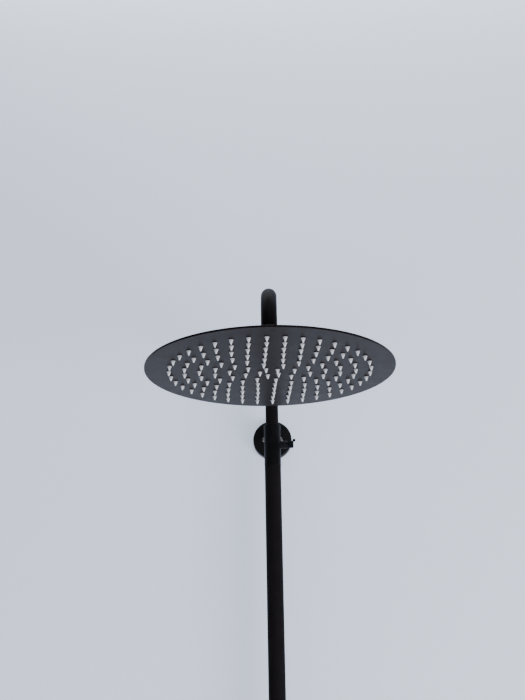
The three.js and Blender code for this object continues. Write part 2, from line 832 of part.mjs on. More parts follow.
wallFlange();
wallScrew("wall_screw_left", -WALL_SCREW_X);
wallScrew("wall_screw_right", WALL_SCREW_X);
bracketArm();
grubScrew();
bracketSleeve();
stopFerrule();
ferruleSeal();
clampCollet();
guideBush();
pressurePad();
thumbScrew();
lockLever();
lowerTube();
tailFitting();
inletWasher();
unionNut();
gooseneckTube();
guidePiston();
pistonSeals();
armNipple();
ballSeal();
ballNut();
seatRing();
ballStud();
inletHub();
hubGasket();
flowRestrictor();
filterScreen();
stemWasher();
backPlate();
nozzleMat();
facePlate();

export default column;
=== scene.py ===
import json
import math

import bmesh
import bpy
from mathutils import Matrix, Vector
from mathutils.geometry import delaunay_2d_cdt


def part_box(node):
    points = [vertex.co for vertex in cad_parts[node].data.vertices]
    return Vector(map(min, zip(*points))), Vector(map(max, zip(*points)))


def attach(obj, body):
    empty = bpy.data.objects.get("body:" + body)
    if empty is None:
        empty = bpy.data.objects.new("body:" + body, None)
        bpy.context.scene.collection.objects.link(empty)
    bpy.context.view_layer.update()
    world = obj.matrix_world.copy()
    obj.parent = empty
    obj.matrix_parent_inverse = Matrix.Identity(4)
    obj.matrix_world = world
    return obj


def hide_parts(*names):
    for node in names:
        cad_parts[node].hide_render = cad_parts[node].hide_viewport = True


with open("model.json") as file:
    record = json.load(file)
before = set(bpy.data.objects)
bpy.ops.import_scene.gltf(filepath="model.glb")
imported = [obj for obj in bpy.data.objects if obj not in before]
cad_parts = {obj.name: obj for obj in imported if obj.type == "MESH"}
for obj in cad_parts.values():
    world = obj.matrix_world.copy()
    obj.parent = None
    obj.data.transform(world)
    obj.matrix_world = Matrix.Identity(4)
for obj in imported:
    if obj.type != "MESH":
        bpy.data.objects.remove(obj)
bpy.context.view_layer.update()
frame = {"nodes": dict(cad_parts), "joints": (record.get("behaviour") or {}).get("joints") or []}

MM = 0.001
TURN = 2 * math.pi
GAP = 0.3 * MM  # between the CAD's pieces
SHARP = math.radians(38)  # an edge of a steeper angle than this is shaded sharp


# ---------------------------------------------------------------- places taken from the frame

def centre(node):
    low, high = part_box(node)
    return (low + high) / 2


def outer_radius(node):
    low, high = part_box(node)
    return (high.x - low.x) / 2


COLUMN = centre("lower_tube")
HEAD = centre("face_plate")
FLANGE = centre("wall_flange")
FACE_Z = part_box("face_plate")[0].z
HEAD_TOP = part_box("face_plate")[1].z
HEAD_R = outer_radius("face_plate")


def on_column(z):
    return Vector((COLUMN.x, COLUMN.y, z))


def on_head(z):
    return Vector((HEAD.x, HEAD.y, z))


# ---------------------------------------------------------------- camera

# From the middle of the head's underside to the camera, and where the camera looks.
CAMERA_OFFSET = Vector((0.0050, -1.1058, -0.3630))
CAMERA_YAW = math.radians(0.70)
CAMERA_PITCH = math.radians(19.44)
CAMERA_ROLL = math.radians(-0.93)
CAMERA_LENS = 49.96


def add_camera():
    data = bpy.data.cameras.new("camera")
    data.lens = CAMERA_LENS
    data.sensor_width = 36
    camera = bpy.data.objects.new("camera", data)
    yaw = Matrix.Rotation(CAMERA_YAW, 4, "Z")
    pitch = Matrix.Rotation(math.pi / 2 + CAMERA_PITCH, 4, "X")
    roll = Matrix.Rotation(CAMERA_ROLL, 4, "Z")
    camera.matrix_world = Matrix.Translation(on_head(FACE_Z) + CAMERA_OFFSET) @ yaw @ pitch @ roll
    bpy.context.scene.collection.objects.link(camera)
    bpy.context.scene.camera = camera


# ---------------------------------------------------------------- materials

def new_material(name, base, roughness, metallic=0.0):
    material = bpy.data.materials.new(name)
    material.use_nodes = True
    nodes = material.node_tree.nodes
    shader = nodes["Principled BSDF"]
    shader.inputs["Base Color"].default_value = (*base, 1)
    shader.inputs["Roughness"].default_value = roughness
    shader.inputs["Metallic"].default_value = metallic
    return material, nodes, material.node_tree.links, shader


def object_noise(nodes, links, scale, detail=2.0, stretch=(1, 1, 1)):
    place = nodes.new("ShaderNodeTexCoord")
    mapping = nodes.new("ShaderNodeMapping")
    mapping.inputs["Scale"].default_value = stretch
    noise = nodes.new("ShaderNodeTexNoise")
    noise.inputs["Scale"].default_value = scale
    noise.inputs["Detail"].default_value = detail
    links.new(place.outputs["Object"], mapping.inputs["Vector"])
    links.new(mapping.outputs["Vector"], noise.inputs["Vector"])
    return noise.outputs["Fac"]


def spread(nodes, links, value, low, high):
    """Maps a noise value, which is mostly from 0.3 to 0.7, to the range from low to high."""
    ramp = nodes.new("ShaderNodeMapRange")
    ramp.inputs["From Min"].default_value = 0.3
    ramp.inputs["From Max"].default_value = 0.7
    ramp.inputs["To Min"].default_value = low
    ramp.inputs["To Max"].default_value = high
    links.new(value, ramp.inputs["Value"])
    return ramp.outputs["Result"]


def colour_between(nodes, links, value, first, second):
    mix = nodes.new("ShaderNodeMix")
    mix.data_type = "RGBA"
    mix.inputs["A"].default_value = (*first, 1)
    mix.inputs["B"].default_value = (*second, 1)
    links.new(value, mix.inputs["Factor"])
    return mix.outputs["Result"]


def bump(nodes, links, shader, height, distance, strength=1.0, below=None):
    node = nodes.new("ShaderNodeBump")
    node.inputs["Distance"].default_value = distance
    node.inputs["Strength"].default_value = strength
    links.new(height, node.inputs["Height"])
    if below:
        links.new(below, node.inputs["Normal"])
    links.new(node.outputs["Normal"], shader.inputs["Normal"])
    return node.outputs["Normal"]


def black_coat(name, dark, light, roughness, grain, specular):
    """Black powder coat: a fine grain over a slow orange peel, with cloudy colour and gloss."""
    material, nodes, links, shader = new_material(name, dark, roughness)
    cloud = object_noise(nodes, links, 60, 4)
    fine = object_noise(nodes, links, 3200, 3)
    peel = object_noise(nodes, links, 420, 1)
    tint = colour_between(nodes, links, spread(nodes, links, cloud, 0, 1), dark, light)
    links.new(tint, shader.inputs["Base Color"])
    links.new(spread(nodes, links, cloud, roughness - 0.03, roughness + 0.04), shader.inputs["Roughness"])
    shader.inputs["Specular IOR Level"].default_value = specular
    slow = bump(nodes, links, shader, peel, 0.02 * MM, 0.5)
    bump(nodes, links, shader, fine, grain, 0.6, below=slow)
    return material


def metal(name, base, roughness, stretch):
    """Turned or brushed metal: fine lines across the stretched direction."""
    material, nodes, links, shader = new_material(name, base, roughness, 1.0)
    lines = object_noise(nodes, links, 1500, 4, stretch)
    links.new(spread(nodes, links, lines, roughness - 0.06, roughness + 0.08), shader.inputs["Roughness"])
    darker = tuple(0.86 * channel for channel in base)
    tint = colour_between(nodes, links, spread(nodes, links, lines, 0, 1), base, darker)
    links.new(tint, shader.inputs["Base Color"])
    bump(nodes, links, shader, lines, 0.004 * MM, 0.5)
    return material


def silicone():
    """Pale grey moulded silicone. Painted shade darkens it towards its root, near the black plate."""
    material, nodes, links, shader = new_material("silicone", (0.7, 0.69, 0.72), 0.42)
    place = nodes.new("ShaderNodeTexCoord")
    axes = nodes.new("ShaderNodeSeparateXYZ")
    links.new(place.outputs["Object"], axes.inputs["Vector"])
    # Painted shade: dark at the plate, pale 4 mm below it, standing in for the shade the plate casts on
    # the root.
    depth = nodes.new("ShaderNodeMapRange")
    depth.inputs["From Min"].default_value = FACE_Z
    depth.inputs["From Max"].default_value = FACE_Z - 4 * MM
    links.new(axes.outputs["Z"], depth.inputs["Value"])
    cloud = object_noise(nodes, links, 300, 3)
    tint = colour_between(nodes, links, depth.outputs["Result"], (0.16, 0.158, 0.17), (0.92, 0.91, 0.95))
    shade = spread(nodes, links, cloud, 0, 0.4)
    mottled = colour_between(nodes, links, shade, (1, 1, 1), (0.86, 0.86, 0.88))
    blend = nodes.new("ShaderNodeMix")
    blend.data_type = "RGBA"
    blend.blend_type = "MULTIPLY"
    blend.inputs["Factor"].default_value = 1
    links.new(tint, blend.inputs["A"])
    links.new(mottled, blend.inputs["B"])
    links.new(blend.outputs["Result"], shader.inputs["Base Color"])
    links.new(spread(nodes, links, cloud, 0.36, 0.50), shader.inputs["Roughness"])
    bump(nodes, links, shader, object_noise(nodes, links, 4000, 2), 0.01 * MM, 0.5)
    return material


def plastic(name, base, roughness, grain_scale):
    """Machined or moulded plastic and rubber, with a fine grain."""
    material, nodes, links, shader = new_material(name, base, roughness)
    cloud = object_noise(nodes, links, 200, 3)
    darker = tuple(0.8 * channel for channel in base)
    shade = spread(nodes, links, cloud, 0, 1)
    links.new(colour_between(nodes, links, shade, base, darker), shader.inputs["Base Color"])
    links.new(spread(nodes, links, cloud, roughness - 0.05, roughness + 0.06), shader.inputs["Roughness"])
    bump(nodes, links, shader, object_noise(nodes, links, grain_scale, 3), 0.01 * MM, 0.6)
    return material


# Black coats: darkest and lightest colour, roughness, depth of the grain in mm, and specular level.
BLACK_COATS = {
    "tube": ((0.009, 0.008, 0.009), (0.012, 0.010, 0.012), 0.42, 0.006, 0.015),
    "face": ((0.008, 0.005, 0.0055), (0.010, 0.0065, 0.007), 0.30, 0.002, 0.045),
    "back": ((0.009, 0.009, 0.010), (0.012, 0.012, 0.014), 0.30, 0.003, 0.35),
    "cast": ((0.005, 0.005, 0.006), (0.008, 0.008, 0.009), 0.36, 0.010, 0.05),
    "flange": ((0.007, 0.007, 0.008), (0.010, 0.010, 0.011), 0.36, 0.006, 0.16),
    "knob": ((0.005, 0.006, 0.008), (0.007, 0.008, 0.010), 0.40, 0.005, 0.03),
}
BLACK = {
    name: black_coat(name + "_black", dark, light, roughness, grain * MM, specular)
    for name, (dark, light, roughness, grain, specular) in BLACK_COATS.items()
}
SILICONE = silicone()
STEEL = metal("stainless", (0.62, 0.62, 0.63), 0.25, (1, 1, 1))
CHROME = metal("chrome", (0.72, 0.73, 0.75), 0.09, (0.1, 0.1, 1))
BRASS = metal("brass", (0.60, 0.43, 0.19), 0.30, (0.1, 0.1, 1))
ACETAL = plastic("acetal", (0.74, 0.73, 0.69), 0.45, 2500)
RUBBER = plastic("rubber", (0.020, 0.020, 0.021), 0.70, 3500)


# ---------------------------------------------------------------- mesh tools

def make_object(name, vertices, faces, material):
    mesh = bpy.data.meshes.new(name)
    mesh.from_pydata([tuple(v) for v in vertices], [], faces)
    work = bmesh.new()
    work.from_mesh(mesh)
    bmesh.ops.remove_doubles(work, verts=work.verts, dist=0.0005 * MM)
    bmesh.ops.recalc_face_normals(work, faces=work.faces)
    work.to_mesh(mesh)
    work.free()
    mesh.polygons.foreach_set("use_smooth", [True] * len(mesh.polygons))
    mesh.set_sharp_from_angle(angle=SHARP)
    mesh.materials.append(material)
    made = bpy.data.objects.new(name, mesh)
    bpy.context.scene.collection.objects.link(made)
    return made


def soften(piece, width, segments=3, angle=32):
    """Rounds a piece's hard edges and evens out its shading."""
    bevel = piece.modifiers.new("edges", "BEVEL")
    bevel.width = width
    bevel.segments = segments
    bevel.limit_method = "ANGLE"
    bevel.angle_limit = math.radians(angle)
    bevel.use_clamp_overlap = True
    normals = piece.modifiers.new("normals", "WEIGHTED_NORMAL")
    normals.keep_sharp = True
    return piece


def grid_faces(rows, columns, closed_rows):
    """Quads of a grid whose columns close round, and whose rows close round when closed_rows is true."""
    faces = []
    for row in range(rows if closed_rows else rows - 1):
        below = (row + 1) % rows * columns
        for column in range(columns):
            after = (column + 1) % columns
            faces.append((row * columns + column, row * columns + after, below + after, below + column))
    return faces


def turn(name, profile, origin, material, axis=(0, 0, 1), sides=96):
    """A piece turned about an axis. Its profile is a list of (radius, height) or (radius, height, shape),
    where shape(angle, radius) gives the radius at an angle. A profile that starts and ends on the axis
    is closed there, and any other is closed into a ring."""
    to_axis = Vector((0, 0, 1)).rotation_difference(Vector(axis)).to_matrix()
    solid = profile[0][0] == 0 and profile[-1][0] == 0
    inner = profile[1:-1] if solid else profile
    vertices = []
    for row in inner:
        for side in range(sides):
            angle = TURN * side / sides
            r = row[2](angle, row[0]) if len(row) > 2 else row[0]
            vertices.append(origin + to_axis @ Vector((r * math.cos(angle), r * math.sin(angle), row[1])))
    faces = grid_faces(len(inner), sides, not solid)
    if solid:
        for end, first in ((profile[0], 0), (profile[-1], (len(inner) - 1) * sides)):
            pole = len(vertices)
            vertices.append(origin + to_axis @ Vector((0, 0, end[1])))
            faces += [(pole, first + s, first + (s + 1) % sides) for s in range(sides)]
    return make_object(name, vertices, faces, material)


def arc(centre_r, centre_h, radius, start, end, steps):
    """Profile points on an arc, with angles in degrees from the +radius direction."""
    points = []
    for i in range(steps + 1):
        angle = math.radians(start + (end - start) * i / steps)
        points.append((centre_r + radius * math.cos(angle), centre_h + radius * math.sin(angle)))
    return points


def flutes(count, depth):
    """Shape of a grip: scallops round the edge."""
    return lambda angle, r: r - depth * abs(math.cos(count * angle / 2)) ** 3


def knurl(count, depth):
    """Shape of a straight knurl: sharp ridges round the edge."""
    return lambda angle, r: r - depth * abs(((count * angle / TURN) % 1) * 2 - 1)


def hexagon(apothem):
    """Shape of a bar of hexagon section, where the radius allows it."""
    sixth = math.pi / 3
    return lambda angle, r: min(r, apothem / math.cos((angle % sixth) - sixth / 2))


def carve(target, *cutters):
    """Cuts the cutters out of the target, and removes them."""
    for cutter in cutters:
        modifier = target.modifiers.new("cut", "BOOLEAN")
        modifier.operation = "DIFFERENCE"
        modifier.solver = "EXACT"
        modifier.object = cutter
    bpy.context.view_layer.update()
    graph = bpy.context.evaluated_depsgraph_get()
    carved = bpy.data.meshes.new_from_object(target.evaluated_get(graph))
    target.modifiers.clear()
    target.data = carved
    for cutter in cutters:
        bpy.data.objects.remove(cutter)
    carved.polygons.foreach_set("use_smooth", [True] * len(carved.polygons))
    carved.set_sharp_from_angle(angle=SHARP)
    return target


def stand_for(piece, body, slot, *nodes):
    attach(piece, body)
    if nodes:
        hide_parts(*nodes)
    return piece


# ---------------------------------------------------------------- wall bracket

FLANGE_R = outer_radius("wall_flange")
SLEEVE_LOW, SLEEVE_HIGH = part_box("bracket_sleeve")
SLEEVE_R = COLUMN.x - SLEEVE_LOW.x
LOCK = centre("pressure_pad")
ARM_R = outer_radius("bracket_arm")
ARM_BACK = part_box("bracket_arm")[1].y
SCREW_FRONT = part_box("wall_screw_left")[0].y
FLANGE_FRONT = SCREW_FRONT - 0.5 * MM  # the screw heads are sunk by this much
WALL = Vector((FLANGE.x, 0, FLANGE.z))
TOWARDS_ROOM = (0, -1, 0)


def make_flange():
    depth = -FLANGE_FRONT
    stub_r = 5.2 * MM
    stub_end = -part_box("wall_flange")[0].y
    rounding = 2.2 * MM
    back_edge = 0.5 * MM
    profile = [(0, 0), (FLANGE_R - back_edge, 0), (FLANGE_R, back_edge)]
    profile += arc(FLANGE_R - rounding, depth - rounding, rounding, 0, 90, 8)
    profile += [(FLANGE_R - 5 * MM, depth), (ARM_R + 3 * MM, depth), (stub_r, depth)]
    profile += [(stub_r, stub_end - MM), (stub_r - MM, stub_end), (0, stub_end)]
    flange = turn("flange", profile, WALL, BLACK["flange"], TOWARDS_ROOM, 160)
    cutters = []
    hole_r = 2.6 * MM
    mouth_r = 4.1 * MM
    mouth_depth = 2.4 * MM
    for node in ("wall_screw_left", "wall_screw_right"):
        x = centre(node).x
        hole = [(0, -MM), (hole_r, -MM), (hole_r, depth - mouth_depth), (mouth_r, depth)]
        hole += [(mouth_r, depth + MM), (0, depth + MM)]
        cutters.append(turn("hole", hole, WALL + Vector((x, 0, 0)), BLACK["cast"], TOWARDS_ROOM, 48))
    carve(flange, *cutters)
    soften(flange, 0.25 * MM)
    stand_for(flange, "riser", "flange_black", "wall_flange")


def recess_blade(length, width, depth, origin):
    """Half of a cross recess: a tapered blade that points into a screw head."""
    vertices = []
    for y, share in ((-depth, 1.0), (depth, 0.55)):
        for x, z in ((-1, -1), (1, -1), (1, 1), (-1, 1)):
            vertices.append(origin + Vector((x * length * share / 2, y, z * width * share / 2)))
    faces = [(3, 2, 1, 0), (4, 5, 6, 7)] + [(i, (i + 1) % 4, 4 + (i + 1) % 4, 4 + i) for i in range(4)]
    return make_object("recess", vertices, faces, STEEL)


def make_wall_screw(node):
    place = centre(node)
    end = -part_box(node)[1].y
    head = -SCREW_FRONT
    root, crest = 1.65 * MM, 2.1 * MM
    profile = [(0, end), (root - 0.05 * MM, end)]
    pitch = 1.2 * MM
    h = end + 0.3 * MM
    while h + pitch < head - 2.6 * MM:
        profile += [(root, h), (crest, h + 0.35 * pitch), (root, h + 0.7 * pitch)]
        h += pitch
    r = outer_radius(node)
    profile += [(crest, head - 2.2 * MM), (r - 0.05 * MM, head - 0.35 * MM), (r, head - 0.2 * MM)]
    profile += [(r - 0.2 * MM, head - 0.04 * MM), (0.75 * r, head + 0.12 * MM)]
    profile += [(0.4 * r, head + 0.24 * MM), (0, head + 0.28 * MM)]
    origin = Vector((place.x, 0, place.z))
    screw = turn(node + "_piece", profile, origin, STEEL, TOWARDS_ROOM, 48)
    top = Vector((place.x, -head, place.z))
    long, short, deep = 4.2 * MM, 0.9 * MM, 1.4 * MM
    carve(screw, recess_blade(long, short, deep, top), recess_blade(short, long, deep, top))
    stand_for(soften(screw, 0.08 * MM, 2), "riser", "screw_steel", node)


def make_bracket_arm():
    back = -ARM_BACK
    front = -(SLEEVE_HIGH.y + GAP)
    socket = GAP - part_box("wall_flange")[0].y
    socket_r = 5.5 * MM
    stud_r = 4 * MM
    stud_end = front + 5.5 * MM
    flare = 0.8 * MM
    profile = [(socket_r, back), (ARM_R + flare, back)]
    profile += arc(ARM_R + flare, back + GAP + flare, flare, 270, 180, 6)
    profile += [(ARM_R, front - 0.5 * MM), (ARM_R - 0.5 * MM, front), (stud_r, front), (stud_r, stud_end)]
    profile += [(0.3 * MM, stud_end), (0.3 * MM, socket), (socket_r, socket)]
    arm = turn("arm", profile, WALL, BLACK["cast"], TOWARDS_ROOM, 96)
    grub = centre("flange_grub_screw")
    hole_r = 2.3 * MM
    depth = 4.5 * MM
    hole = [(0, -2 * MM), (hole_r, -2 * MM), (hole_r, depth), (0, depth)]
    cutter = turn("hole", hole, Vector((grub.x, grub.y, -ARM_R)), BLACK["cast"], (0, 0, 1), 40)
    carve(arm, cutter)
    stand_for(soften(arm, 0.2 * MM), "riser", "bracket_black", "bracket_arm")


def make_grub_screw():
    low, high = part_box("flange_grub_screw")
    place = centre("flange_grub_screw")
    length = high.z - low.z
    r = outer_radius("flange_grub_screw")
    key = hexagon(1.0 * MM)
    key_r = 1.2 * MM
    profile = [(0, 1.2 * MM), (key_r, 1.2 * MM, key), (key_r, 0, key), (r - 0.2 * MM, 0), (r, 0.3 * MM)]
    profile += [(r, length - 0.4 * MM), (r - 0.5 * MM, length), (0, length)]
    grub = turn("grub_screw", profile, Vector((place.x, place.y, low.z)), STEEL, (0, 0, 1), 48)
    stand_for(grub, "riser", "screw_steel", "flange_grub_screw")


def boss(name, axis, height, radius, fillet, reach, bore):
    """A round boss on the sleeve, blended into it with a fillet and bored along its axis."""
    sleeve_r = SLEEVE_R - 0.06 * MM
    wall_r = SLEEVE_R - 0.8 * MM
    along = Vector(axis)
    across = Vector((0, 0, 1)).cross(along)
    columns = 72
    steps = 6

    def surface(r, angle, cylinder_r):
        return math.sqrt(cylinder_r ** 2 - (r * math.cos(angle)) ** 2)

    rows = []
    for i in range(steps + 1):
        quarter = math.pi / 2 * i / steps
        r = radius + fillet * (1 - math.sin(quarter))
        lift = fillet * (1 - math.cos(quarter))
        rows.append([(r, surface(r, TURN * c / columns, sleeve_r) + lift) for c in range(columns)])
    end = [(radius, reach - 0.7 * MM), (radius - 0.2 * MM, reach - 0.2 * MM), (radius - 0.7 * MM, reach)]
    end += [(bore + 0.3 * MM, reach), (bore, reach - 0.3 * MM)]
    rows += [[point] * columns for point in end]
    for r in (bore, radius + fillet):
        rows.append([(r, surface(r, TURN * c / columns, wall_r)) for c in range(columns)])
    vertices = []
    for row in rows:
        for c, (r, h) in enumerate(row):
            angle = TURN * c / columns
            sideways = across * (r * math.cos(angle)) + Vector((0, 0, r * math.sin(angle)))
            vertices.append(on_column(height) + along * h + sideways)
    made = make_object(name, vertices, grid_faces(len(rows), columns, True), BLACK["cast"])
    stand_for(made, "riser", "bracket_black")


def make_sleeve():
    low, high = SLEEVE_LOW.z, SLEEVE_HIGH.z
    foot_r = SLEEVE_R - 0.2 * MM
    foot_bore = 12.2 * MM
    edge = 0.5 * MM
    bore = 11.5 * MM
    lip = 10.6 * MM
    lip_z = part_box("guide_bush")[1].z + GAP
    profile = [(foot_bore, low), (foot_r - edge, low)] + arc(foot_r - edge, low + edge, edge, 270, 360, 4)
    shoulder = 1.3 * MM
    profile += arc(SLEEVE_R - shoulder, high - shoulder, shoulder, 0, 90, 6) + [(lip + 0.15 * MM, high)]
    profile += [(lip, high - 0.15 * MM), (lip, lip_z), (bore, lip_z)]
    profile += [(bore, low + 1.7 * MM), (foot_bore, low + 1.7 * MM)]
    sleeve = turn("sleeve", profile, on_column(0), BLACK["cast"], (0, 0, 1), 128)
    stand_for(soften(sleeve, 0.12 * MM, 2), "riser", "bracket_black", "bracket_sleeve")
    rear, side = SLEEVE_HIGH.y - COLUMN.y, SLEEVE_HIGH.x - COLUMN.x
    boss("arm_boss", (0, 1, 0), FLANGE.z, radius=8.5 * MM, fillet=0.5 * MM, reach=rear, bore=4.3 * MM)
    boss("lock_boss", (1, 0, 0), LOCK.z, radius=5.9 * MM, fillet=1.4 * MM, reach=side, bore=3.2 * MM)


# ---------------------------------------------------------------- locking screw

def make_thumb_screw():
    low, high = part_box("thumb_screw")
    start = SLEEVE_HIGH.x + GAP - low.x
    end = high.x - low.x
    r = (high.z - low.z) / 2
    grip = knurl(30, 0.35 * MM)
    root, crest, neck = 2.45 * MM, 2.9 * MM, 2.6 * MM
    profile = [(0, 0), (root - 0.15 * MM, 0)]
    h = 0.4 * MM
    while h < start - 1.4 * MM:
        profile += [(root, h), (crest, h + 0.4 * MM), (crest, h + 0.55 * MM)]
        h += 1.0 * MM
    profile += [(neck, start - 0.3 * MM), (neck, start), (3.9 * MM, start)]
    profile += [(r - 0.35 * MM, start + 0.25 * MM), (r - 0.1 * MM, start + 0.8 * MM)]
    profile += [(r - 0.1 * MM, start + 1.3 * MM), (r, start + 1.7 * MM, grip), (r, end - 1.5 * MM, grip)]
    profile += [(r - 0.1 * MM, end - 1.1 * MM), (r - 0.15 * MM, end - 0.6 * MM)]
    profile += [(r - 0.7 * MM, end - 0.12 * MM), (2.2 * MM, end)]
    profile += [(1.9 * MM, end - 0.35 * MM), (0, end - 0.4 * MM)]
    origin = Vector((low.x, LOCK.y, LOCK.z))
    screw = turn("thumb_screw_piece", profile, origin, BLACK["knob"], (1, 0, 0), 180)
    stand_for(screw, "lock_screw", "knob_black", "thumb_screw")


def make_lever():
    low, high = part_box("lock_lever")
    ball_r = (high.y - low.y) / 2
    tip = Vector((high.x - ball_r, LOCK.y, high.z - ball_r))
    inset = 0.8 * MM  # from the corner of the stalk's box to the middle of its end
    root = Vector((low.x + inset, LOCK.y, low.z + inset))
    length = (tip - root).length
    direction = (tip - root).normalized()
    stalk = 1.45 * MM
    waist = math.degrees(math.asin(stalk / ball_r))
    profile = [(0, -0.3 * MM), (stalk - 0.05 * MM, -0.3 * MM), (stalk, 0.2 * MM), (stalk, length * 0.45)]
    profile += arc(0, length, ball_r, -90 + waist, 88, 18)
    profile += [(0, length + ball_r)]
    lever = turn("lever", profile, root, BLACK["knob"], direction, 40)
    stand_for(lever, "lock_screw", "knob_black", "lock_lever")


# ---------------------------------------------------------------- riser

TAIL_NECK_R = 10.6 * MM  # neck of the tail fitting, inside the union nut's lip
WATERWAY_R = 8.5 * MM


def make_lower_tube():
    low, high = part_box("lower_tube")
    r = outer_radius("lower_tube")
    bore = r - 1.3 * MM
    length = high.z - low.z
    profile = [(bore, 0), (r - 0.25 * MM, 0), (r, 0.25 * MM)]
    profile += [(r, length - 0.3 * MM), (r - 0.3 * MM, length), (bore, length)]
    tube = turn("riser_tube", profile, on_column(low.z), BLACK["tube"], (0, 0, 1), 128)
    stand_for(soften(tube, 0.08 * MM, 2), "riser", "tube_black", "lower_tube")


def make_union_nut():
    low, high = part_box("union_nut")
    apothem = outer_radius("union_nut")
    corner = apothem / math.cos(math.pi / 6)
    length = high.z - low.z
    flats = hexagon(apothem)
    minor, major = 12.75 * MM, 13.2 * MM
    bore = TAIL_NECK_R + 0.35 * MM
    lip = 4 * MM
    seat = length - lip
    bevel = 1.8 * MM
    steps = 6
    crown = []  # rounded bevel of the nut's corners, out to just past them
    for i in range(steps + 1):
        crown.append((corner - bevel + 2.0 * MM * i / steps, bevel * (i / steps) ** 1.4))
    profile = [(major, 0.5 * MM), (major + 0.5 * MM, 0)] + [(r, h, flats) for r, h in crown]
    profile += [(r, length - h, flats) for r, h in reversed(crown)]
    profile += [(bore + 0.4 * MM, length), (bore, length - 0.4 * MM), (bore, seat), (major, seat)]
    h = seat - 1.6 * MM
    while h > 1.8 * MM:
        profile += [(major, h), (minor, h - 0.55 * MM), (minor, h - 0.75 * MM), (major, h - 1.3 * MM)]
        h -= 1.8 * MM
    nut = turn("union_nut_piece", profile, on_column(low.z), BLACK["cast"], (0, 0, 1), 192)
    stand_for(nut, "union_nut", "nut_black", "union_nut")


def make_tail_fitting():
    low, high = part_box("tail_fitting")
    r = outer_radius("tail_fitting")
    way = WATERWAY_R
    ring_r = outer_radius("lower_tube")
    spigot = ring_r - 1.6 * MM
    length = high.z - low.z
    ring_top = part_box("lower_tube")[0].z - GAP - low.z
    ring_low = ring_top - 2 * MM
    neck = TAIL_NECK_R
    profile = [(way, 0.3 * MM), (way + 0.3 * MM, 0), (r - 0.4 * MM, 0), (r, 0.4 * MM), (r, 2.6 * MM)]
    profile += [(r - 0.4 * MM, 3 * MM), (neck + 0.4 * MM, 3 * MM), (neck, 3.4 * MM)]
    profile += [(neck, ring_low - 0.4 * MM), (neck + 0.4 * MM, ring_low)]
    profile += [(ring_r - 0.3 * MM, ring_low), (ring_r, ring_low + 0.3 * MM)]
    profile += [(ring_r, ring_top - 0.3 * MM), (ring_r - 0.3 * MM, ring_top), (spigot, ring_top)]
    profile += [(spigot, length), (way, length)]
    fitting = turn("tail", profile, on_column(low.z), BRASS, (0, 0, 1), 96)
    stand_for(fitting, "riser", "fitting_brass", "tail_fitting")


def make_flat_seal(node, name, body, place, inner):
    low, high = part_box(node)
    r = outer_radius(node)
    thick = high.z - low.z
    round_r = 0.3 * thick
    profile = [(inner, round_r), (inner + round_r, 0)]
    profile += arc(r - round_r, round_r, round_r, 270, 360, 4)
    profile += arc(r - round_r, thick - round_r, round_r, 0, 90, 4)
    profile += [(inner + round_r, thick), (inner, thick - round_r)]
    washer = turn(name, profile, place(low.z), RUBBER, (0, 0, 1), 96)
    stand_for(washer, body, "seal_rubber", node)


# ---------------------------------------------------------------- upper tube

def bend_radius():
    """Centreline radius of the gooseneck's bends, from where its level run begins."""
    node = frame["nodes"]["gooseneck_tube"]
    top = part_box("gooseneck_tube")[1].z
    level = [v.co.y for v in node.data.vertices if v.co.z > top - 0.05 * MM]
    return COLUMN.y - max(level)


def make_gooseneck():
    low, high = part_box("gooseneck_tube")
    r = outer_radius("gooseneck_tube")
    bore = r - MM
    bend = bend_radius()
    level = high.z - r
    front_end = 28 * MM
    path = [((COLUMN.y, low.z), (0, 1)), ((COLUMN.y, low.z + 0.5 * MM), (0, 1))]
    steps = 40
    for centre_y, first in ((COLUMN.y - bend, 0), (HEAD.y + bend, 1)):
        for i in range(steps + 1):
            angle = math.pi / 2 * (first + i / steps)
            point = (centre_y + bend * math.cos(angle), level - bend + bend * math.sin(angle))
            path.append((point, (-math.sin(angle), math.cos(angle))))
    path += [((HEAD.y, front_end + 0.5 * MM), (0, -1)), ((HEAD.y, front_end), (0, -1))]
    columns = 80
    rows = []
    for index, (point, tangent) in enumerate(path):
        at_end = index in (0, len(path) - 1)
        rows.append((point, tangent, r - 0.35 * MM if at_end else r))
    for point, tangent in reversed(path):
        rows.append((point, tangent, bore))
    vertices = []
    for (y, z), (ty, tz), radius in rows:
        for column in range(columns):
            angle = TURN * column / columns
            off = radius * math.sin(angle)
            vertices.append((radius * math.cos(angle), y - tz * off, z + ty * off))
    tube = make_object("arm_tube", vertices, grid_faces(len(rows), columns, True), BLACK["tube"])
    stand_for(tube, "gooseneck", "tube_black", "gooseneck_tube")


# ---------------------------------------------------------------- ball joint

def make_nipple():
    low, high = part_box("arm_nipple")
    r = outer_radius("arm_nipple")
    length = high.z - low.z
    shoulder = 4.9 * MM
    spigot_r = 8.7 * MM
    bore = 7 * MM
    mouth = 5.5 * MM
    root = r - 0.5 * MM
    profile = [(mouth, 0.3 * MM), (mouth + 0.3 * MM, 0), (r - 0.8 * MM, 0)]
    h = 0.3 * MM
    while h + 1.2 * MM < shoulder:
        profile += [(root, h), (r, h + 0.4 * MM), (r, h + 0.5 * MM), (root, h + 0.95 * MM)]
        h += 1.1 * MM
    profile += [(r, shoulder - 0.3 * MM), (r, shoulder), (spigot_r, shoulder), (spigot_r, length)]
    profile += [(bore, length), (bore, 5.2 * MM), (mouth, 3.2 * MM)]
    nipple = turn("nipple", profile, on_head(low.z), BRASS, (0, 0, 1), 96)
    stand_for(nipple, "gooseneck", "fitting_brass", "arm_nipple")


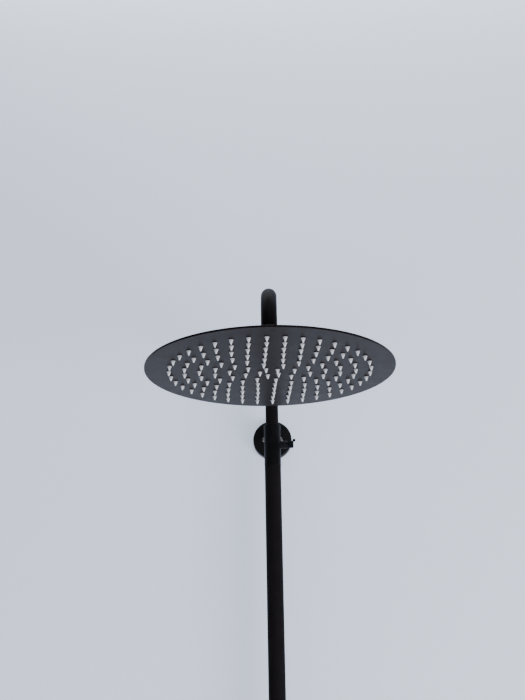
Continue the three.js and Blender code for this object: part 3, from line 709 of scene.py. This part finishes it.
def make_ball_nut():
    low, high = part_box("ball_nut")
    r = outer_radius("ball_nut")
    length = high.z - low.z
    bore = 10.7 * MM
    lip = 9 * MM
    seat = 1.5 * MM
    grip = flutes(12, 0.55 * MM)
    profile = [(lip, 0.3 * MM), (lip + 0.3 * MM, 0)] + arc(r - 1.4 * MM, 1.4 * MM, 1.4 * MM, 270, 350, 6)
    groove = r - 0.3 * MM
    profile += [(r, 2.6 * MM), (groove, 2.9 * MM), (groove, 3.4 * MM), (r, 3.7 * MM)]
    profile += [(r, 4.3 * MM, grip), (r, length - 4.2 * MM, grip)]
    profile += [(r, length - 3.6 * MM), (groove, length - 3.3 * MM), (groove, length - 2.8 * MM)]
    profile += [(r, length - 2.5 * MM)] + arc(r - 1.2 * MM, length - 1.2 * MM, 1.2 * MM, 10, 90, 6)
    profile += [(bore + 0.3 * MM, length), (bore, length - 0.3 * MM), (bore, seat), (lip, seat)]
    nut = turn("swivel_nut", profile, on_head(low.z), BLACK["cast"], (0, 0, 1), 192)
    stand_for(soften(nut, 0.1 * MM, 2), "ball_nut", "nut_black", "ball_nut")


def make_ball():
    low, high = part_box("ball_stud")
    ball_r = 9.5 * MM
    ball_z = frame_joint("head_tilt")["pos_m"][2] - low.z
    hub_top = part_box("inlet_hub")[1].z + GAP - low.z
    collar_top = 9.1 * MM
    neck = 6 * MM
    bore = 4.5 * MM
    wrench = hexagon(10.6 * MM)
    root, crest = 9.4 * MM, 9.9 * MM
    collar_r = 12 * MM
    profile = [(bore, 0.2 * MM), (bore + 0.2 * MM, 0), (root - 0.4 * MM, 0)]
    h = 0.3 * MM
    while h + 1.3 * MM < hub_top:
        profile += [(root, h), (crest, h + 0.45 * MM), (crest, h + 0.6 * MM), (root, h + 1.05 * MM)]
        h += 1.35 * MM
    profile += [(root + 0.2 * MM, hub_top), (collar_r - 0.8 * MM, hub_top, wrench)]
    profile += [(collar_r, hub_top + 0.5 * MM, wrench), (collar_r, collar_top - 0.5 * MM, wrench)]
    profile += [(collar_r - 0.8 * MM, collar_top, wrench), (8.5 * MM, collar_top)]
    profile += arc(neck + 1.2 * MM, collar_top + 1.2 * MM, 1.2 * MM, 250, 180, 5)
    start = -math.degrees(math.acos(neck / ball_r))
    end = math.degrees(math.acos((bore + 0.3 * MM) / ball_r))
    profile += arc(0, ball_z, ball_r, start, end, 36)
    profile += [(bore, high.z - low.z - 0.6 * MM)]
    ball = turn("ball", profile, on_head(low.z), CHROME, (0, 0, 1), 96)
    stand_for(ball, "ball", "ball_chrome", "ball_stud")


def frame_joint(name):
    return next(joint for joint in frame["joints"] if joint["name"] == name)


# ---------------------------------------------------------------- rain head

def nozzle_places():
    """Where each nozzle stands, from the lowest corners of the silicone mat."""
    node = frame["nodes"]["nozzle_mat"]
    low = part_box("nozzle_mat")[0].z
    groups = []
    for vertex in node.data.vertices:
        if vertex.co.z > low + 0.01 * MM:
            continue
        point = vertex.co.copy()
        for group in groups:
            if (group[0] - point).length < 3 * MM:
                if all((other - point).length > 0.01 * MM for other in group):
                    group.append(point)
                break
        else:
            groups.append([point])
    return [sum(group, Vector()) / len(group) for group in groups]


NOZZLES = nozzle_places()
HOLE_R = 2.78 * MM
COLLAR = 0.65 * MM  # height of the drawn collar round each hole


def make_nozzles():
    low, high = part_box("nozzle_mat")
    sides = 36
    tip_z = low.z
    root_r = HOLE_R - 0.08 * MM
    shoulder_z = FACE_Z - COLLAR + 0.05 * MM
    tip_r = 0.66 * MM
    orifice = 0.34 * MM
    outline = [(root_r, FACE_Z + 1.0 * MM), (root_r, shoulder_z)]
    ribs = 6
    groove = 0.13  # depth of the grooves between the ribs, as a share of the radius
    steps = 7
    for i in range(steps + 1):
        share = i / steps
        r = tip_r + (root_r - 0.1 * MM - tip_r) * (1 - share) ** 1.2
        outline.append((r, shoulder_z - 0.08 * MM + (tip_z + 0.22 * MM - shoulder_z) * share))
    outline += [(tip_r - 0.04 * MM, tip_z + 0.06 * MM), (tip_r - 0.14 * MM, tip_z)]
    outline += [(orifice + 0.08 * MM, tip_z), (orifice, tip_z + 0.12 * MM)]
    outline += [(orifice * 0.8, tip_z + 1.8 * MM)]
    vertices = []
    faces = []
    for place in NOZZLES:
        first = len(vertices)
        for row, (r, z) in enumerate(outline):
            for side in range(sides):
                angle = TURN * side / sides
                ribbed = 2 < row < steps + 1
                wave = (1 + math.cos(ribs * (angle + math.pi / 2))) / 2 if ribbed else 0
                reach = r * (1 - groove * wave)
                vertices.append((place.x + reach * math.cos(angle), place.y + reach * math.sin(angle), z))
        ring = grid_faces(len(outline), sides, False)
        faces += [tuple(first + corner for corner in face) for face in ring]
        faces.append(tuple(first + (len(outline) - 1) * sides + side for side in range(sides)))
        faces.append(tuple(first + side for side in reversed(range(sides))))
    nozzles = make_object("nozzles", vertices, faces, SILICONE)
    stand_for(nozzles, "head", "nozzle_silicone")
    sheet_r = outer_radius("nozzle_mat")
    thick = 0.5 * MM
    sheet = [(0, 0), (sheet_r - 0.2 * MM, 0), (sheet_r, 0.1 * MM), (sheet_r, thick - 0.1 * MM)]
    sheet += [(sheet_r - 0.2 * MM, thick), (0, thick)]
    mat = turn("silicone_mat", sheet, on_head(high.z - thick), SILICONE, (0, 0, 1), 128)
    stand_for(mat, "head", "nozzle_silicone", "nozzle_mat")


def loop_points(x, y, radius, count):
    return [Vector((x + radius * math.cos(TURN * i / count), y + radius * math.sin(TURN * i / count)))
            for i in range(count)]


def make_face():
    """Perforated plate: one flat sheet with a drawn collar at every hole and a rolled rim."""
    hole_sides = 24
    rim_sides = 240
    top = FACE_Z + 0.7 * MM
    collar_foot = 0.42 * MM
    # Section of a collar: mm outside the hole, and share of the collar's height.
    collar = [(0.30, 0.03), (0.24, 0.12), (0.22, 0.75), (0.18, 0.93)]
    collar += [(0.10, 1.0), (0.03, 0.97), (0.0, 0.88)]
    flat_r = HEAD_R - 0.9 * MM
    loops = [loop_points(HEAD.x, HEAD.y, flat_r, rim_sides)]
    loops += [loop_points(n.x, n.y, HOLE_R + collar_foot, hole_sides) for n in NOZZLES]
    flat = [point for loop in loops for point in loop]
    edges = []
    outlines = []
    first = 0
    for loop in loops:
        indices = list(range(first, first + len(loop)))
        edges += list(zip(indices, indices[1:] + indices[:1]))
        outlines.append(indices)
        first += len(loop)
    points, _, triangles, origins, *_ = delaunay_2d_cdt(flat, edges, [], 0, 1e-7, True)
    centres = [n.to_2d() for n in NOZZLES]
    kept = []
    for triangle in triangles:
        middle = sum((points[i] for i in triangle), Vector((0, 0))) / len(triangle)
        in_hole = any((middle - c).length < HOLE_R for c in centres)
        if not in_hole and (middle - HEAD.to_2d()).length < flat_r:
            kept.append([origins[i][0] for i in triangle])
    vertices = [(p.x, p.y, FACE_Z) for p in flat]
    faces = [tuple(reversed(t)) for t in kept]

    def add_row(previous, radius, z, middle):
        row = []
        for i in range(len(previous)):
            angle = TURN * i / len(previous)
            row.append(len(vertices))
            vertices.append((middle.x + radius * math.cos(angle), middle.y + radius * math.sin(angle), z))
        for i in range(len(previous)):
            after = (i + 1) % len(previous)
            faces.append((previous[i], previous[after], row[after], row[i]))
        return row

    rows = [outlines[0]]
    for radius, z in arc(HEAD_R - 0.5 * MM, FACE_Z + 0.5 * MM, 0.5 * MM, 270, 360, 5):
        rows.append(add_row(rows[-1], radius, z, HEAD))
    inside = HEAD_R - 0.8 * MM
    rim = [(HEAD_R, HEAD_TOP - 0.2 * MM), (HEAD_R - 0.2 * MM, HEAD_TOP), (HEAD_R - 0.6 * MM, HEAD_TOP)]
    rim += [(inside, HEAD_TOP - 0.2 * MM), (inside, top + 0.1 * MM), (flat_r, top)]
    for radius, z in rim:
        rows.append(add_row(rows[-1], radius, z, HEAD))
    top_of = dict(zip(outlines[0], rows[-1]))  # vertex of the underside: the one above it
    for outline, nozzle in zip(outlines[1:], NOZZLES):
        row = outline
        for proud, share in collar:
            row = add_row(row, HOLE_R + proud * MM, FACE_Z - COLLAR * share, nozzle)
        row = add_row(row, HOLE_R, top - 0.1 * MM, nozzle)
        row = add_row(row, HOLE_R + 0.1 * MM, top, nozzle)
        row = add_row(row, HOLE_R + collar_foot, top, nozzle)
        top_of.update(zip(outline, row))
    faces += [tuple(top_of[i] for i in triangle) for triangle in kept]
    face = make_object("face", vertices, faces, BLACK["face"])
    for polygon in face.data.polygons:
        polygon.use_smooth = abs(polygon.normal.z) < 0.999
    stand_for(face, "head", "head_black", "face_plate")


def make_back():
    crown_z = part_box("back_plate")[1].z
    rim = outer_radius("back_plate")
    thick = 0.6 * MM
    flat_top = HEAD_TOP - crown_z
    inner = 12 * MM
    foot, crown = 46 * MM, 24 * MM  # radii where the plate's raised middle starts and where it is level
    upper = [(inner, 0), (crown, 0)]
    steps = 16
    for i in range(1, steps + 1):
        share = i / steps
        ease = share * share * (3 - 2 * share)
        upper.append((crown + (foot - crown) * share, flat_top * ease))
    upper += [(rim - 3 * MM, flat_top), (rim - 0.25 * MM, flat_top), (rim, flat_top - 0.2 * MM)]
    lower = [(r, h - thick) for r, h in reversed(upper[:-1])]
    back = turn("back", upper + lower, on_head(crown_z), BLACK["back"], (0, 0, 1), 240)
    stand_for(back, "head", "head_black", "back_plate")


def make_hub():
    low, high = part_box("inlet_hub")
    flange_r = outer_radius("inlet_hub")
    body_r = 14.5 * MM
    base = 3.2 * MM
    length = high.z - low.z
    bore = 10.2 * MM
    outlet = 7 * MM
    spigot = 11.7 * MM
    shelf = 2.4 * MM
    profile = [(outlet, 0), (spigot, 0), (spigot, base), (flange_r - 0.4 * MM, base)]
    fillet = 3.0 * MM
    top_edge = 0.7 * MM
    profile += arc(flange_r - 0.5 * MM, base + 0.6 * MM, 0.55 * MM, 270, 430, 8)
    profile += arc(body_r + fillet, base + 4.4 * MM, fillet, 268, 180, 8)
    profile += arc(body_r - top_edge, length - top_edge, top_edge, 0, 90, 5)
    profile += [(bore + 0.5 * MM, length), (bore, length - 0.5 * MM), (bore, shelf), (outlet, shelf)]
    hub = turn("hub", profile, on_head(low.z), BLACK["cast"], (0, 0, 1), 128)
    stand_for(hub, "head", "hub_black", "inlet_hub")


# ---------------------------------------------------------------- inner pieces that keep their CAD shape

INNER = {
    "stop_ferrule": BLACK["cast"],
    "ferrule_seal": RUBBER,
    "clamp_collet": ACETAL,
    "guide_bush": ACETAL,
    "pressure_pad": ACETAL,
    "guide_piston": ACETAL,
    "piston_seal_lower": RUBBER,
    "piston_seal_upper": RUBBER,
    "ball_seal": RUBBER,
    "seat_ring": ACETAL,
    "flow_restrictor": ACETAL,
    "filter_screen": STEEL,
    "stem_washer": RUBBER,
}


def dress_inner_pieces():
    for name, material in INNER.items():
        node = frame["nodes"][name]
        node.data.materials.clear()
        node.data.materials.append(material)
        soften(node, 0.1 * MM, 2, 50)


# ---------------------------------------------------------------- stage and light

FLOOR_Z = -2.1
WALL_TOP = 3.0
STAGE_HALF = 5.0


def stage_plane(name, corners, material):
    mesh = bpy.data.meshes.new(name)
    mesh.from_pydata(corners, [], [(0, 1, 2, 3)])
    mesh.materials.append(material)
    plane = bpy.data.objects.new(name, mesh)
    bpy.context.scene.collection.objects.link(plane)


def pale_paint(name, colour, glow=0.0, one_sided=False):
    """Pale matt paint, lit a little from within. A one-sided sheet is seen only from its front, so it
    never hides the object."""
    material, nodes, links, shader = new_material(name, colour, 0.85)
    shader.inputs["Emission Color"].default_value = (*colour, 1)
    shader.inputs["Emission Strength"].default_value = glow
    if one_sided:
        clear = nodes.new("ShaderNodeBsdfTransparent")
        side = nodes.new("ShaderNodeNewGeometry")
        mix = nodes.new("ShaderNodeMixShader")
        links.new(side.outputs["Backfacing"], mix.inputs["Fac"])
        links.new(shader.outputs["BSDF"], mix.inputs[1])
        links.new(clear.outputs["BSDF"], mix.inputs[2])
        links.new(mix.outputs["Shader"], nodes["Material Output"].inputs["Surface"])
    return material


def add_stage():
    h = STAGE_HALF
    floor = [(-h, -2 * h, FLOOR_Z), (h, -2 * h, FLOOR_Z), (h, h, FLOOR_Z), (-h, h, FLOOR_Z)]
    stage_plane("floor", floor, pale_paint("floor_paint", (0.68, 0.70, 0.73), 0.30))
    y = 0.5 * MM  # just behind the flange's back face
    wall = [(-h, y, FLOOR_Z), (h, y, FLOOR_Z), (h, y, WALL_TOP), (-h, y, WALL_TOP)]
    stage_plane("backdrop", wall, pale_paint("backdrop_paint", (0.67, 0.75, 0.90), 0.63, True))


def area_light(name, place, target, size, power, colour=(1, 1, 1)):
    data = bpy.data.lights.new(name, "AREA")
    data.shape = "RECTANGLE"
    data.size, data.size_y = size
    data.energy = power
    data.color = colour
    light = bpy.data.objects.new(name, data)
    light.location = place
    light.rotation_euler = (Vector(target) - Vector(place)).to_track_quat("-Z", "Y").to_euler()
    bpy.context.scene.collection.objects.link(light)


def add_light():
    area_light("low_key", (2.0, -1.8, -1.5), (0, -0.3, 0.0), (1.8, 1.6), 78)
    area_light("low_fill", (-1.7, -1.9, -1.8), (0, -0.2, 0.0), (2.0, 1.6), 13, (0.94, 0.97, 1))
    area_light("front_fill", (0.2, -3.0, -0.9), (0, -0.2, 0.0), (2.0, 1.6), 12, (0.97, 0.98, 1))
    area_light("overhead", (0.1, -1.3, 2.0), (0, -0.40, 0.1), (1.6, 1.2), 16, (0.95, 0.98, 1))
    area_light("high_back", (0, -0.1, 1.1), (0, -0.42, 0.1), (1.4, 0.3), 9, (0.95, 0.98, 1))
    world = bpy.data.worlds.new("studio")
    world.use_nodes = True
    nodes, links = world.node_tree.nodes, world.node_tree.links
    surround = nodes["Background"]
    surround.inputs["Color"].default_value = (0.80, 0.86, 0.95, 1)
    surround.inputs["Strength"].default_value = 0.11
    seen = nodes.new("ShaderNodeBackground")
    seen.inputs["Color"].default_value = (0.58, 0.61, 0.67, 1)
    path = nodes.new("ShaderNodeLightPath")
    mix = nodes.new("ShaderNodeMixShader")
    links.new(path.outputs["Is Camera Ray"], mix.inputs["Fac"])
    links.new(surround.outputs["Background"], mix.inputs[1])
    links.new(seen.outputs["Background"], mix.inputs[2])
    links.new(mix.outputs["Shader"], nodes["World Output"].inputs["Surface"])
    bpy.context.scene.world = world


# ---------------------------------------------------------------- assembly

add_camera()
make_flange()
make_wall_screw("wall_screw_left")
make_wall_screw("wall_screw_right")
make_bracket_arm()
make_grub_screw()
make_sleeve()
make_thumb_screw()
make_lever()
make_lower_tube()
make_union_nut()
make_tail_fitting()
make_flat_seal("inlet_washer", "inlet_seal", "riser", on_column, WATERWAY_R)
make_gooseneck()
make_nipple()
make_ball_nut()
make_ball()
make_hub()
make_flat_seal("hub_gasket", "hub_seal", "head", on_head, 12.6 * MM)
make_back()
make_nozzles()
make_face()
dress_inner_pieces()
add_stage()
add_light()
